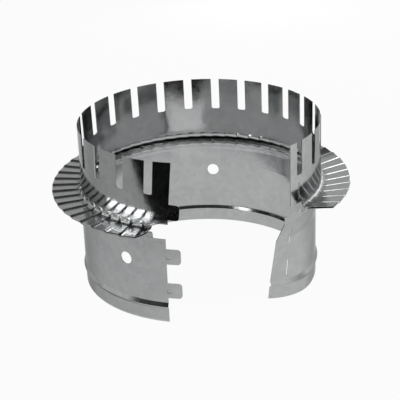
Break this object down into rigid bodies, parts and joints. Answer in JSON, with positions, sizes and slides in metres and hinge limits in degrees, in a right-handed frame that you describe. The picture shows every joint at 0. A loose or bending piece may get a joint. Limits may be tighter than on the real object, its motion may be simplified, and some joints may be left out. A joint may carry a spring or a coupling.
{
  "type": "duct collar",
  "caption": "Round sheet-metal duct collar rolled to an open C, with a slotted finger edge, a crimped double flange and a beaded skirt.",
  "frame": {"origin": "on the collar's axis, level with the crests at the flange's rim", "axes": "+Z along the collar's axis towards the fingers; the open gap faces -Y and the lock tabs are on its -X side"},
  "size_m": [0.2297, 0.2189, 0.1259],
  "materials": {
    "galvanised_sheet": "bright galvanised sheet with a fine rolled grain, no paint"
  },
  "bodies": {
    "root": {"collar_sheet": "galvanised_sheet"}
  },
  "joints": []
}
